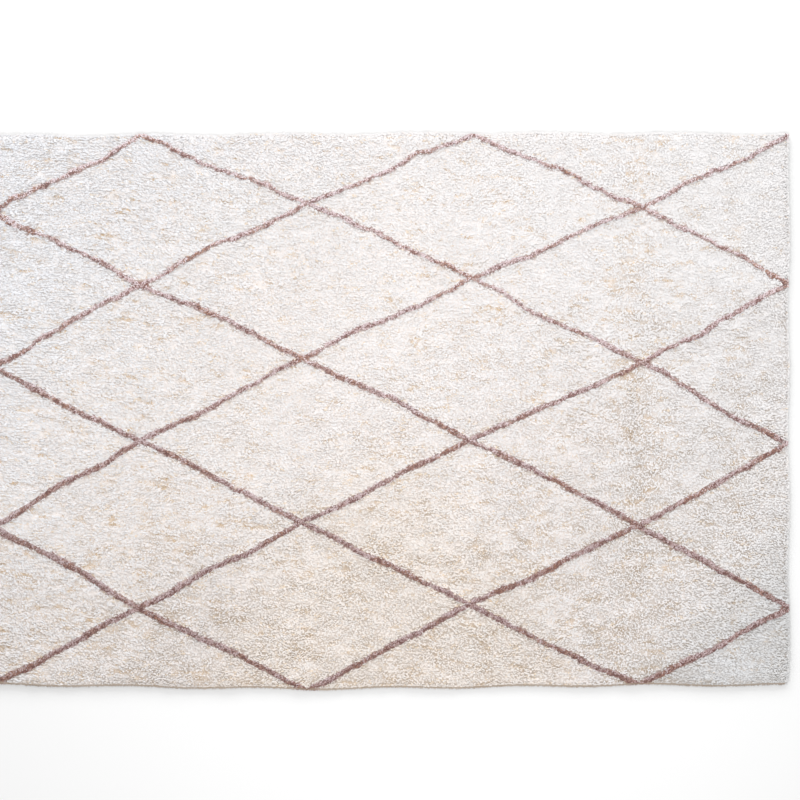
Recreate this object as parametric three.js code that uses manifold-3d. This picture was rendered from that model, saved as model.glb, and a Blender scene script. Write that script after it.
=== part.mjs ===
// A tufted cotton berber rug lying flat on a floor. Millimetres, +Z up.
//
// X runs along the rug's long side and Y across it. The origin is on the floor under the middle of
// the rug. The rug is one cloth: pale yarn and darker yarn tufted through the same ground cloth. It
// is modelled as a lumpy slab whose top is raised along the dark lines of its diamond lattice, with
// pointed locks of pile that stand out all round its rim.

import * as THREE from "three";
import { mergeVertices } from "three/addons/utils/BufferGeometryUtils.js";
import Module from "manifold-3d";

const wasm = await Module();
wasm.setup();

// Height of the pile above the floor, away from the lattice lines
const PILE_TOP = 17;
// How far the dark lines stand proud of the pile
const RIDGE = 3;
// The pile's soft swell: its height, the lengths of its waves, and how far each wave leans and bends
const SWELL = { height: 1.6, across: 380, down: 300, lean: 1300, bend: 2, bendLength: 900 };
// How uneven the pile is from one lump to the next
const UNEVEN = 1;

// How far the rug's lines and edges wander to one side, over what length, and how much the waves
// lean, which keeps those on one edge out of step with those on the other
const WANDER = { aside: 2.5, length: 330, leanX: 0.31, leanY: 0.43, start: 1 };

// The rounded rim from the pile's shoulder down to the floor: how far each ring lies inside the
// rug's outline, and its height as a share of the pile's height beside it
const RIM = [
  { inset: 20, height: 0.9 },
  { inset: 10, height: 0.66 },
  { inset: 8, height: 0.36 },
  { inset: 13, height: 0 },
];
const WIDEST_INSET = Math.min(...RIM.map(({ inset }) => inset));
// How far each corner is drawn in along both edges, which leaves it a little blunt
const CORNER_INSET = 5;

// The locks of pile at the rim: where the root lies, its size, and how far the tip stands out
// past the rim's widest ring
const LOCK = { sides: 4, inset: 16, height: 0.48, halfWidth: 8, halfHeight: 4, reach: 8 };
// How much shorter a lock may be, and how far its tip may lie to one side or sag
const LOCK_VARIES = { reach: 3.5, aside: 8, sag: 3 };
// Locks in each step of the rim. A step is twice as long on the long edges.
const LOCKS_PER_STEP = { longEdge: 2, shortEdge: 1 };

// Where the lattice's lines cross, as [x, y]. Rows run from the far long edge to the near one. The
// lines of the first and last rows meet at the long edges, and crossings at x = 1000 or -1000 are
// on the short edges. Even rows have theirs one column to the right of odd ones.
const CROSSINGS = [
  { left: [-632, 694], middle: [205, 700], right: [1000, 697] },
  { left: [-1000, 500], middle: [-209, 522], right: [629, 515] },
  { left: [-631, 320], middle: [205, 332], right: [1000, 322] },
  { left: [-1000, 110], middle: [-222, 135], right: [632, 121] },
  { left: [-630, -75], middle: [200, -69], right: [1000, -81] },
  { left: [-1000, -287], middle: [-220, -278], right: [624, -284] },
  { left: [-629, -490], middle: [201, -485], right: [1000, -494] },
  { left: [-1000, -688], middle: [-210, -700], right: [624, -690] },
];
const HALF_LENGTH = 1000;
const FULL_TURN = 2 * Math.PI;

// The lattice divides the rug into blocks, each with one line from corner to corner
const BLOCKS_ACROSS = 5;
const BLOCKS_DOWN = CROSSINGS.length - 1;
// Cells in each block, along X and along Y
const STEPS = 8;
const CELLS_ACROSS = BLOCKS_ACROSS * STEPS;
const CELLS_DOWN = BLOCKS_DOWN * STEPS;

// A crossing lies where the column's and the row's numbers add up to an odd number
const isCrossing = (column, row) => (column + row) % 2 === 1;

function crossing(column, row) {
  const { left, middle, right } = CROSSINGS[row];
  const place = (column - (row % 2 === 0 ? 1 : 0)) / 2;
  return [left, middle, right][place];
}

// The mean of one coordinate at those of the given places that are crossings of the lattice
function meanOf(places, coordinate) {
  const inside = places.filter(
    ([column, row]) => column >= 0 && column <= BLOCKS_ACROSS && row >= 0 && row <= BLOCKS_DOWN,
  );
  const sum = inside.reduce((total, [column, row]) => total + crossing(column, row)[coordinate], 0);
  return sum / inside.length;
}

// A block's corner: a crossing, or a point in line with the crossings on its four sides
function blockCorner(column, row) {
  if (isCrossing(column, row)) {
    return crossing(column, row);
  }
  const x = meanOf([[column, row - 1], [column, row + 1]], 0);
  const y = meanOf([[column - 1, row], [column + 1, row]], 1);
  if (column === 0) {
    return [-HALF_LENGTH, y];
  }
  if (column === BLOCKS_ACROSS) {
    return [HALF_LENGTH, y];
  }
  return [x, y];
}

// A repeatable random number from 0 to 1 for each lock or point of the pile. Each use has its own
// salt, so that no two uses agree.
const SALT = { pile: 3, reach: 5, aside: 6, sag: 7 };
const SCATTER = { index: 12.9898, salt: 78.233, gain: 43758.5453 };

function scatter(index, salt) {
  const wave = Math.sin(index * SCATTER.index + salt * SCATTER.salt) * SCATTER.gain;
  return wave - Math.floor(wave);
}

// Where point (i, j) of the grid lies before the rim draws it in
function gridPlace(i, j) {
  const column = Math.min(Math.floor(i / STEPS), BLOCKS_ACROSS - 1);
  const row = Math.min(Math.floor(j / STEPS), BLOCKS_DOWN - 1);
  const u = i / STEPS - column;
  const v = j / STEPS - row;
  const farLeft = blockCorner(column, row);
  const farRight = blockCorner(column + 1, row);
  const nearLeft = blockCorner(column, row + 1);
  const nearRight = blockCorner(column + 1, row + 1);
  const blend = (k) =>
    (farLeft[k] * (1 - u) + farRight[k] * u) * (1 - v) + (nearLeft[k] * (1 - u) + nearRight[k] * u) * v;
  const x = blend(0);
  const y = blend(1);
  const turn = FULL_TURN / WANDER.length;
  return new THREE.Vector2(
    x + WANDER.aside * Math.sin((y + x * WANDER.leanX) * turn),
    y + WANDER.aside * Math.sin((x + y * WANDER.leanY) * turn + WANDER.start),
  );
}

// Whether point (i, j) of the grid lies on a line of the lattice
function onLine(i, j) {
  const column = Math.min(Math.floor(i / STEPS), BLOCKS_ACROSS - 1);
  const row = Math.min(Math.floor(j / STEPS), BLOCKS_DOWN - 1);
  const u = i - column * STEPS;
  const v = j - row * STEPS;
  return isCrossing(column, row) ? u === v : u + v === STEPS;
}

function pileHeight(i, j) {
  const { x, y } = gridPlace(i, j);
  const bend = SWELL.bend * Math.sin((FULL_TURN * y) / SWELL.bendLength);
  const waveX = Math.sin((FULL_TURN * x) / SWELL.across + bend);
  const waveY = Math.sin(FULL_TURN * (y / SWELL.down + x / SWELL.lean));
  const uneven = 2 * scatter(i + j * (CELLS_ACROSS + 1), SALT.pile) - 1;
  return PILE_TOP + SWELL.height * waveX * waveY + UNEVEN * uneven + (onLine(i, j) ? RIDGE : 0);
}

// The points round the edge of the grid, counter-clockwise from above, each with its way out
function rimPoints() {
  const points = [];
  for (let i = 0; i < CELLS_ACROSS; i += 1) {
    points.push({ i, j: CELLS_DOWN });
  }
  for (let j = CELLS_DOWN; j > 0; j -= 1) {
    points.push({ i: CELLS_ACROSS, j });
  }
  for (let i = CELLS_ACROSS; i > 0; i -= 1) {
    points.push({ i, j: 0 });
  }
  for (let j = 0; j < CELLS_DOWN; j += 1) {
    points.push({ i: 0, j });
  }
  return points.map(({ i, j }) => {
    const out = new THREE.Vector2(
      (i === CELLS_ACROSS) - (i === 0),
      (j === 0) - (j === CELLS_DOWN),
    );
    const isCorner = out.lengthSq() > 1;
    return { i, j, out, cornerInset: isCorner ? CORNER_INSET : 0 };
  });
}

// A point of the rim that lies the given distance inside the rug's outline
function rimPlace(point, inset, height) {
  const place = gridPlace(point.i, point.j).addScaledVector(point.out, -inset - point.cornerInset);
  return new THREE.Vector3(place.x, place.y, height * pileHeight(point.i, point.j));
}

// The way out of the rug between two neighbouring points of the rim, square to its edge
function wayOut(point, next) {
  const x = point.out.x === next.out.x ? point.out.x : 0;
  const y = point.out.y === next.out.y ? point.out.y : 0;
  return new THREE.Vector3(x, y, 0).normalize();
}

const topIndex = (i, j) => j * (CELLS_ACROSS + 1) + i;

function addTop(positions, triangles) {
  for (let j = 0; j <= CELLS_DOWN; j += 1) {
    for (let i = 0; i <= CELLS_ACROSS; i += 1) {
      const place = gridPlace(i, j);
      positions.push(place.x, place.y, pileHeight(i, j));
    }
  }
  for (let j = 0; j < CELLS_DOWN; j += 1) {
    for (let i = 0; i < CELLS_ACROSS; i += 1) {
      const farLeft = topIndex(i, j);
      const farRight = topIndex(i + 1, j);
      const nearLeft = topIndex(i, j + 1);
      const nearRight = topIndex(i + 1, j + 1);
      // Each cell is cut along its block's lattice line, so that the raised line has a sharp crest
      if (isCrossing(Math.floor(i / STEPS), Math.floor(j / STEPS))) {
        triangles.push(farLeft, nearLeft, nearRight, farLeft, nearRight, farRight);
      } else {
        triangles.push(farLeft, nearLeft, farRight, nearLeft, nearRight, farRight);
      }
    }
  }
}

// The rounded rim, ring by ring. Its first ring is the top's own edge, drawn in. Returns the last.
function addRim(positions, triangles) {
  const rim = rimPoints();
  let upper = rim.map(({ i, j }) => topIndex(i, j));
  rim.forEach((point, n) => {
    rimPlace(point, RIM[0].inset, RIM[0].height).toArray(positions, 3 * upper[n]);
  });
  for (const { inset, height } of RIM.slice(1)) {
    const lower = rim.map((point) => {
      positions.push(...rimPlace(point, inset, height).toArray());
      return positions.length / 3 - 1;
    });
    lower.forEach((corner, n) => {
      const next = (n + 1) % rim.length;
      triangles.push(upper[n], corner, lower[next], upper[n], lower[next], upper[next]);
    });
    upper = lower;
  }
  return upper;
}

// The flat underside, as a fan of triangles from its middle to the ring round it
function addUnderside(positions, triangles, ring) {
  const middle = positions.length / 3;
  positions.push(0, 0, 0);
  ring.forEach((corner, n) => {
    triangles.push(middle, ring[(n + 1) % ring.length], corner);
  });
}

// The rug without its locks
function slabGeometry() {
  const positions = [];
  const triangles = [];
  addTop(positions, triangles);
  const foot = addRim(positions, triangles);
  addUnderside(positions, triangles, foot);
  const geometry = new THREE.BufferGeometry();
  geometry.setAttribute("position", new THREE.Float32BufferAttribute(positions, 3));
  geometry.setIndex(triangles);
  return geometry;
}

// One pointed lock, from its root inside the slab to its tip outside. Its root is the given share
// of the way from one point of the rim to the next.
function lockGeometry(point, next, share, n) {
  const root = rimPlace(point, LOCK.inset, LOCK.height);
  root.lerp(rimPlace(next, LOCK.inset, LOCK.height), share);
  const out = wayOut(point, next);
  const along = new THREE.Vector3(-out.y, out.x, 0);
  const rootToTip = new THREE.Vector3(0, 0, -LOCK_VARIES.sag * scatter(n, SALT.sag));
  const reach = LOCK.reach - LOCK_VARIES.reach * scatter(n, SALT.reach);
  rootToTip.addScaledVector(out, LOCK.inset - WIDEST_INSET + reach);
  rootToTip.addScaledVector(along, LOCK_VARIES.aside * (2 * scatter(n, SALT.aside) - 1));

  const length = rootToTip.length();
  const forward = rootToTip.normalize();
  const sideways = new THREE.Vector3().crossVectors(forward, new THREE.Vector3(0, 0, 1)).normalize();
  const upward = new THREE.Vector3().crossVectors(sideways, forward);
  const frame = new THREE.Matrix4().makeBasis(
    sideways.multiplyScalar(LOCK.halfWidth),
    forward.clone().multiplyScalar(length),
    upward.multiplyScalar(LOCK.halfHeight),
  );
  frame.setPosition(root.addScaledVector(forward, length / 2));
  return new THREE.ConeGeometry(1, 1, LOCK.sides).applyMatrix4(frame);
}

// A closed mesh as a solid that can be joined with others
function toSolid(geometry) {
  const bare = geometry.clone();
  bare.deleteAttribute("normal");
  bare.deleteAttribute("uv");
  const merged = mergeVertices(bare);
  const mesh = new wasm.Mesh({
    numProp: 3,
    vertProperties: new Float32Array(merged.attributes.position.array),
    triVerts: new Uint32Array(merged.index.array),
  });
  return new wasm.Manifold(mesh);
}

function toGeometry(solid) {
  const { vertProperties, triVerts } = solid.getMesh();
  const geometry = new THREE.BufferGeometry();
  geometry.setAttribute("position", new THREE.Float32BufferAttribute(vertProperties, 3));
  geometry.setIndex(new THREE.Uint32BufferAttribute(triVerts, 1));
  return geometry;
}

// Every lock round the rim
function lockGeometries() {
  const rim = rimPoints();
  const locks = [];
  rim.forEach((point, n) => {
    const next = rim[(n + 1) % rim.length];
    const isLongEdge = wayOut(point, next).x === 0;
    const count = isLongEdge ? LOCKS_PER_STEP.longEdge : LOCKS_PER_STEP.shortEdge;
    for (let k = 0; k < count; k += 1) {
      locks.push(lockGeometry(point, next, (k + 0.5) / count, locks.length));
    }
  });
  return locks;
}

function rugGeometry() {
  let rug = toSolid(slabGeometry());
  for (const lock of lockGeometries()) {
    rug = rug.add(toSolid(lock));
  }
  const geometry = toGeometry(rug);
  // The origin goes under the middle of the rug, locks and all
  geometry.computeBoundingBox();
  const middle = geometry.boundingBox.getCenter(new THREE.Vector3());
  geometry.translate(-middle.x, -middle.y, -geometry.boundingBox.min.z);
  geometry.computeVertexNormals();
  return geometry;
}

const cotton = new THREE.MeshStandardMaterial({ color: 0xefe9e2, roughness: 0.95, metalness: 0 });
const rug = new THREE.Mesh(rugGeometry(), cotton);
rug.name = "rug";

const group = new THREE.Group();
group.add(rug);

export default group;
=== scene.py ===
# %% [markdown]
# # A tufted cotton rug
# The rug is one cloth. Pale cotton yarn is punched through a ground cloth row by row and cut to an
# even pile, and a darker yarn draws a lattice of diamonds in the same way. A flat picture on a slab
# could show the pattern, but not the soft uneven pile, so every tuft here is a small mesh of its own.
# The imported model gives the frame: its box, its origin on the floor and the body that pieces ride on.

import bmesh
import bpy
import numpy as np
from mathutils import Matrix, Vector


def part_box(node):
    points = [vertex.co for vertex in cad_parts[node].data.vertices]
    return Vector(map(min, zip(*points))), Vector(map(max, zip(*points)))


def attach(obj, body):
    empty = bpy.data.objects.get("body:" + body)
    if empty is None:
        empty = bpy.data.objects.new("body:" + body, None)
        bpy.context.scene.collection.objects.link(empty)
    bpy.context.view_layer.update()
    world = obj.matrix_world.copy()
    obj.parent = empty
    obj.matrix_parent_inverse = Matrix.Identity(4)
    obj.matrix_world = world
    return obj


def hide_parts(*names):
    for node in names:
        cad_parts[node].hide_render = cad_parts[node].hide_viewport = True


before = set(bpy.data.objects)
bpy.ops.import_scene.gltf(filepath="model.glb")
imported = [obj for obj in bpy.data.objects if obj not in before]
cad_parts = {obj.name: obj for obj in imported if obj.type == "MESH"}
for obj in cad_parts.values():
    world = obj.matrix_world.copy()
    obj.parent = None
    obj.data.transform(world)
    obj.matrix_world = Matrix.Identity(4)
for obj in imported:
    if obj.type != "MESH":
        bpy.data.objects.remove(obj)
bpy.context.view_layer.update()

MM = 0.001  # a millimetre in metres, Blender's unit
RUG_LOW, RUG_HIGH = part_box("rug")
print("the solid rug measures", [round(side, 4) for side in RUG_HIGH - RUG_LOW])

# %% [markdown]
# ## The camera
# The rug was photographed from straight above with a long lens, and its left edge is just outside
# the picture. The camera looks straight down from high up, a little right of and above the middle
# of the rug, so that the rug's edges fall where they do in the photograph.

# %% The camera
PHOTO_PIXELS = 800
PIXEL = 2.516 * MM  # what one pixel of the photograph covers on the rug
PHOTO_MIDDLE_X = 390.5  # the pixel column and row on which the rug's middle falls
PHOTO_MIDDLE_Y = 411.5
CAMERA_HEIGHT = 5.0
SENSOR = 36.0

camera_data = bpy.data.cameras.new("camera")
camera_data.sensor_width = SENSOR
camera_data.lens = SENSOR * CAMERA_HEIGHT / (PHOTO_PIXELS * PIXEL)
camera = bpy.data.objects.new("camera", camera_data)
camera.location = (
    (PHOTO_PIXELS / 2 - PHOTO_MIDDLE_X) * PIXEL,
    (PHOTO_MIDDLE_Y - PHOTO_PIXELS / 2) * PIXEL,
    CAMERA_HEIGHT,
)
bpy.context.scene.collection.objects.link(camera)
bpy.context.scene.camera = camera
print("the lens is", round(camera_data.lens, 1), "mm long")

# %% [markdown]
# ## The rug's layout
# The maker drew the lattice by hand, so its crossings are a little off an even grid, and the long
# edges bow with its first and last rows. The crossings are a short table, and all the rest follows
# from them: the corners of the blocks between them, one line for each block, and the rug's outline.
# On the far side the points of the diamonds stop a little short of the edge.

# %% The lattice's crossings
# As x and y in millimetres, in rows from the far long edge to the near one. Even rows have theirs
# one column to the right of odd ones. An x of 1000 or -1000 is on a short edge.
CROSSINGS = [
    {"left": (-624, 694), "middle": (205, 700), "right": (1000, 697)},
    {"left": (-1000, 500), "middle": (-209, 522), "right": (629, 515)},
    {"left": (-631, 320), "middle": (205, 332), "right": (1000, 322)},
    {"left": (-1000, 110), "middle": (-222, 135), "right": (632, 121)},
    {"left": (-630, -75), "middle": (200, -69), "right": (1000, -81)},
    {"left": (-1000, -287), "middle": (-220, -278), "right": (624, -284)},
    {"left": (-629, -490), "middle": (201, -485), "right": (1000, -494)},
    {"left": (-1000, -688), "middle": (-210, -700), "right": (624, -690)},
]
LAST_COLUMN = 5
LAST_ROW = len(CROSSINGS) - 1
HALF_LENGTH = 1000 * MM
HALF_WIDTH = 700 * MM


def is_crossing(column, row):
    return (column + row) % 2 == 1


def crossing(column, row):
    place = (column - (row % 2 == 0)) // 2
    return np.array(CROSSINGS[row][("left", "middle", "right")[place]]) * MM


def block_corner(column, row):
    """A crossing, or the point in line with the crossings beside, above and below it."""
    if is_crossing(column, row):
        return crossing(column, row)
    beside = [c for c in (column - 1, column + 1) if 0 <= c <= LAST_COLUMN]
    over = [r for r in (row - 1, row + 1) if 0 <= r <= LAST_ROW]
    x = np.mean([crossing(column, r)[0] for r in over])
    y = np.mean([crossing(c, row)[1] for c in beside])
    if column in (0, LAST_COLUMN):
        x = HALF_LENGTH if column else -HALF_LENGTH
    return np.array((x, y))


def lattice_lines():
    """Each line of the lattice as its two ends, one line to a block."""
    lines = []
    for row in range(LAST_ROW):
        for column in range(LAST_COLUMN):
            falls = is_crossing(column, row)
            start = block_corner(column if falls else column + 1, row)
            end = block_corner(column + 1 if falls else column, row + 1)
            lines.append((start, end))
    return np.array(lines)


FAR_POINTS_DROP = 4 * MM

LINES = lattice_lines()
in_far_row = LINES[..., 1] > HALF_WIDTH - 10 * MM
LINES[..., 1] -= FAR_POINTS_DROP * in_far_row
print("the lattice has", len(LINES), "lines")

# %% [markdown]
# ## Uneven by hand
# Nothing on a hand-made rug is quite straight or even. One helper makes smooth random values over
# the rug, like rolling hills seen from above, and every unevenness uses it with its own seed and its
# own size. The seeds are fixed, so the rug is the same each time.

# %% Smooth random values and the rug's edges
DRIFT_CELLS = 256


def drift(x, y, length, seed, stretch=1.0):
    """Smooth random values from -1 to 1 that change over a length, stretched along x."""
    table = np.random.default_rng(seed).uniform(-1, 1, (DRIFT_CELLS, DRIFT_CELLS))
    u, v = x / (length * stretch) + DRIFT_CELLS / 2, y / length + DRIFT_CELLS / 2
    i, j = np.floor(u).astype(int), np.floor(v).astype(int)
    u, v = u - i, v - j
    u, v = u * u * (3 - 2 * u), v * v * (3 - 2 * v)
    i, j = i % DRIFT_CELLS, j % DRIFT_CELLS
    i_next, j_next = (i + 1) % DRIFT_CELLS, (j + 1) % DRIFT_CELLS
    low = table[i, j] * (1 - u) + table[i_next, j] * u
    high = table[i, j_next] * (1 - u) + table[i_next, j_next] * u
    return low * (1 - v) + high * v


def smooth_step(value, low, high):
    share = np.clip((value - low) / (high - low), 0, 1)
    return share * share * (3 - 2 * share)


# A slow wave: how far it strays, how long it is, how its crests slant and where it starts
WANDER = {"aside": 2.5 * MM, "length": 330 * MM, "lean_x": 0.31, "lean_y": 0.43, "start": 1.0}


def wander(x, y):
    """How far the whole drawing strays to the right and up at a point."""
    turn = 2 * np.pi / WANDER["length"]
    aside = WANDER["aside"]
    right = aside * np.sin((y + x * WANDER["lean_x"]) * turn)
    up = aside * np.sin((x + y * WANDER["lean_y"]) * turn + WANDER["start"])
    return right, up


def long_edge(x, row):
    """The height y of the far long edge, row 0, or the near one, the last row, at x."""
    corners = np.array([block_corner(column, row) for column in range(LAST_COLUMN + 1)])
    y = np.interp(x, corners[:, 0], corners[:, 1])
    return y + wander(x, y)[1]


CORNER_ROUND = 6 * MM


def inset(x, y):
    """How far points lie inside the rug's outline, and the way out to the nearest edge."""
    right, _ = wander(np.sign(x) * HALF_LENGTH, y)
    to_short = HALF_LENGTH + np.sign(x) * right - np.abs(x)
    to_long = np.where(y > 0, long_edge(x, 0) - y, y - long_edge(x, LAST_ROW))
    nearer_long = to_long < to_short
    out = np.stack([np.where(nearer_long, 0, np.sign(x)), np.where(nearer_long, np.sign(y), 0)], -1)
    in_corner = np.maximum(to_short, to_long) < CORNER_ROUND
    rounded = CORNER_ROUND - np.hypot(CORNER_ROUND - to_short, CORNER_ROUND - to_long)
    return np.where(in_corner, rounded, np.minimum(to_short, to_long)), out


def near_side(out):
    """Whether the way out is towards the near long edge."""
    return out[:, 1] < -0.5


# %% Points to measure at
# A net of points over the rug, only for the numbers that the next cells print
NET = np.meshgrid(np.linspace(-0.95, 0.95, 191), np.linspace(-0.65, 0.65, 131))
NET_X, NET_Y = (grid.ravel() for grid in NET)
print("the net's points lie up to", round(inset(NET_X, NET_Y)[0].max(), 2), "m inside the edge")

# %% [markdown]
# ## Where the dark yarn goes
# The distance to the nearest lattice line decides which yarn a tuft is made of. The point that is
# measured is first pushed aside by three sizes of drift, which gives the lines their hand-drawn wobble
# and their beaded edges. The far lines wobble more and are a little thinner than the near ones, and
# the wobble calms down at the crossings and where the diamonds' points meet the long edges.

# %% Distance to the lattice
WOBBLE = {"wide": (3.8 * MM, 120 * MM), "fine": (2.2 * MM, 38 * MM), "beads": (1.5 * MM, 14 * MM)}
FAR_WOBBLE = 1.6  # how much stronger it is at the far edge
CALM_AT_EDGE = 0.7  # the share of it that is lost at the long edges
CALM_AT_CROSSING = 0.6


def wobble_strength(x, y, from_long_edge):
    """How strongly the lines wobble at each point."""
    at_edge = 1 - smooth_step(from_long_edge, 5 * MM, 70 * MM)
    from_crossing = np.min([np.hypot(x - end[0], y - end[1]) for end in LINES.reshape(-1, 2)], axis=0)
    at_crossing = 1 - smooth_step(from_crossing, 10 * MM, 60 * MM)
    calm = np.maximum(CALM_AT_EDGE * at_edge, CALM_AT_CROSSING * at_crossing)
    return (1 + (FAR_WOBBLE - 1) * smooth_step(y, -0.4, 0.5)) * (1 - calm)


FAR_HALF_WIDTH = 4.5 * MM
NEAR_HALF_WIDTH = 6.5 * MM
UNEVEN_WIDTH = 0.2  # how much a line swells and thins, as a share of its width
LEFT_THICKER = 0.1  # and how much thicker it is at the left
EDGE_THICKER = 1 * MM


def line_half_width(x, y, from_long_edge):
    """Half the width of a lattice line at each point."""
    nearness = smooth_step(-y, -HALF_WIDTH, HALF_WIDTH)
    half_width = FAR_HALF_WIDTH + (NEAR_HALF_WIDTH - FAR_HALF_WIDTH) * nearness
    uneven = UNEVEN_WIDTH * drift(x, y, 26 * MM, 31) + UNEVEN_WIDTH * drift(x, y, 11 * MM, 32)
    half_width = half_width * (1 + uneven + LEFT_THICKER * smooth_step(-x, 0.5, 0.9))
    return half_width + EDGE_THICKER * (1 - smooth_step(from_long_edge, 5 * MM, 22 * MM))


def from_lattice(x, y):
    """For each point: how far outside the nearest line's edge it is, the line's angle, and a step
    straight away from the middle of the line."""
    from_long_edge = HALF_WIDTH - np.abs(y)
    strength = wobble_strength(x, y, from_long_edge)
    for seed, (aside, length) in enumerate(WOBBLE.values()):
        aside = aside * strength
        x, y = x + aside * drift(x, y, length, 10 + seed), y + aside * drift(x, y, length, 20 + seed)
    right, up = wander(x, y)
    point = np.stack([x - right, y - up], -1)
    away, angle = np.full(point.shape, 1.0), np.zeros(x.shape)
    for start, end in LINES:
        way = end - start
        along = np.clip((point - start) @ way / (way @ way), 0, 1)
        step = point - start - along[..., None] * way
        nearer = np.linalg.norm(step, axis=-1) < np.linalg.norm(away, axis=-1)
        away = np.where(nearer[..., None], step, away)
        angle = np.where(nearer, np.arctan2(way[1], way[0]), angle)
    half_width = line_half_width(x, y, from_long_edge)
    return np.linalg.norm(away, axis=-1) - half_width, angle, away


NET_OFF_LINE, _, _ = from_lattice(NET_X, NET_Y)
print("the lattice covers", round(100 * np.mean(NET_OFF_LINE < 0), 1), "percent of the rug")

# %% [markdown]
# ## How high the pile stands
# The pile swells softly, the lattice stands a few millimetres proud, and the rim is rounded off. The
# same function sets the tips of the tufts and the bed between them.

# %% The pile's height
PILE_TOP = 15.2 * MM
RIDGE = 2.8 * MM  # how much the lattice stands proud
SWELL = 1.5 * MM
CLOTH_THICKNESS = 3 * MM
RIM_ROUND = 16 * MM  # how far in from the edge the pile reaches its full height
RIM_LOW = 0.74  # its height at the very edge, as a share


def pile_height(x, y, off_line, edge):
    swell = SWELL * (drift(x, y, 190 * MM, 41) + 0.6 * drift(x, y, 60 * MM, 42))
    ridge = RIDGE * (1 - smooth_step(off_line, -3 * MM, 2 * MM))
    rim = RIM_LOW + (1 - RIM_LOW) * smooth_step(edge, 0, RIM_ROUND)
    return (PILE_TOP + swell + ridge) * rim


net_height = pile_height(NET_X, NET_Y, NET_OFF_LINE, inset(NET_X, NET_Y)[0]) / MM
print("the pile is", round(net_height.min(), 1), "to", round(net_height.max(), 1), "mm high")

# %% [markdown]
# ## Where the pile is open, parts and streaks
# The pile is dense and smooth towards the far left. It opens towards the near right and on two bands
# across the rug where it was once folded, so that deeper yarn shows between the tufts, painted darker
# there as shade. Small gaps between locks lie all over it. They run along the nap, which slopes a
# little down to the right, and are longest at the left. At the left and the near right the pile lies
# flat in long fine streaks. Tufts and finishes share these measures.

# %% Open, parted and streaky parts
ROUGH_BANDS = [(0.62, 0.070), (0.868, 0.022)]  # middle and half width along x, in metres


def roughness_of_band(x):
    """1 on the rough bands across the rug and 0 away from them."""
    return np.max([np.exp(-(((x - middle) / half) ** 2)) for middle, half in ROUGH_BANDS], axis=0)


def openness(x, y):
    """How open the pile is, from 0 to 1."""
    patches = 0.20 * drift(x, y, 55 * MM, 45, 2.0) + 0.40 * drift(x, y, 14 * MM, 46, 1.6)
    band = 0.85 * roughness_of_band(x) * smooth_step(-y, -0.6, 0.2)
    steady = np.maximum(smooth_step(0.7 * x - 1.6 * y, -0.8, 1.5), band)
    steady = steady * (1 - 0.4 * smooth_step(x - y, 1.25, 1.6))
    return np.clip(steady + patches * (0.4 + steady), 0, 1)


NAP_SLOPE = 0.2


def crowding(x, y):
    """How crowded with gaps each point is. Below 0 there are hardly any."""
    patches = 0.38 * drift(x, y + NAP_SLOPE * x, 26 * MM, 48, 1.8)
    crowded = patches + 0.32 * roughness_of_band(x)
    return crowded + 0.08 * smooth_step(-x, 0.0, 0.9) + 0.08 * smooth_step(-y, 0.0, 0.4)


def parting(x, y):
    """1 in the small gaps between locks and 0 on the locks."""
    across = y + NAP_SLOPE * x
    longer = smooth_step(-x, -0.3, 0.7)
    short_gaps, long_gaps = drift(x, across, 5 * MM, 47, 2.0), drift(x, across, 4.5 * MM, 49, 4.0)
    gaps = (1 - longer) * short_gaps + longer * long_gaps
    return smooth_step(gaps + crowding(x, y), 0.26, 0.80)


def streakiness(x, y):
    """How flat and straight the pile lies along the rows, from 0 to 1."""
    left, right = smooth_step(0.4 * y - x, 0.2, 0.95), smooth_step(x - 0.6 * y, 0.92, 1.18)
    return np.clip(0.7 * left + 0.8 * right + 0.4 * drift(x, y, 160 * MM, 66), 0, 1)


for name, measure in {"openness": openness, "parting": parting, "streakiness": streakiness}.items():
    print(name, "is", round(measure(NET_X, NET_Y).mean(), 2), "on average")

# %% [markdown]
# ## Shader maths
# Materials are worked out by nodes. Wiring each Math node by hand hides the idea, so a small class
# wraps a socket and lets Python's own operators add the nodes: 1 - mask is then a Subtract node.
# Colours go through Mix nodes, because a Math node would turn them grey.

# %% A socket with operators
MIX_FACTOR, MIX_A, MIX_B, MIX_RESULT = 0, 6, 7, 2


class Shade:
    """A socket in a material's node tree, with operators that add Math nodes."""

    def __init__(self, tree, socket=None):
        self.tree, self.socket = tree, socket

    def node(self, kind, settings=None, inputs=None, output=0):
        """Adds a node with its settings, then its sockets' values or links, and gives an output."""
        node = self.tree.nodes.new(kind)
        for name, value in (settings or {}).items():
            setattr(node, name, value)
        for name, value in (inputs or {}).items():
            if isinstance(value, Shade):
                self.tree.links.new(value.socket, node.inputs[name])
            else:
                node.inputs[name].default_value = value
        return Shade(self.tree, node.outputs[output])

    def maths(self, operation, *values):
        return self.node("ShaderNodeMath", {"operation": operation}, dict(enumerate(values)))

    def mix(self, factor, a, b, blend="MIX"):
        """Colour a where factor is 0 and colour b where it is 1."""
        settings = {"data_type": "RGBA", "blend_type": blend, "clamp_factor": True}
        return self.node("ShaderNodeMix", settings, {MIX_FACTOR: factor, MIX_A: a, MIX_B: b}, MIX_RESULT)

    def step(self, low, high):
        """0 below low, 1 above high, and smooth between them."""
        settings = {"interpolation_type": "SMOOTHSTEP"}
        return self.node("ShaderNodeMapRange", settings, {0: self, 1: low, 2: high})

    def __add__(self, other):
        return self.maths("ADD", self, other)

    def __sub__(self, other):
        return self.maths("SUBTRACT", self, other)

    def __rsub__(self, other):
        return self.maths("SUBTRACT", other, self)

    def __mul__(self, other):
        return self.maths("MULTIPLY", self, other)

    __radd__, __rmul__ = __add__, __mul__


def colour(red, green, blue):
    return (red, green, blue, 1.0)


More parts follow.
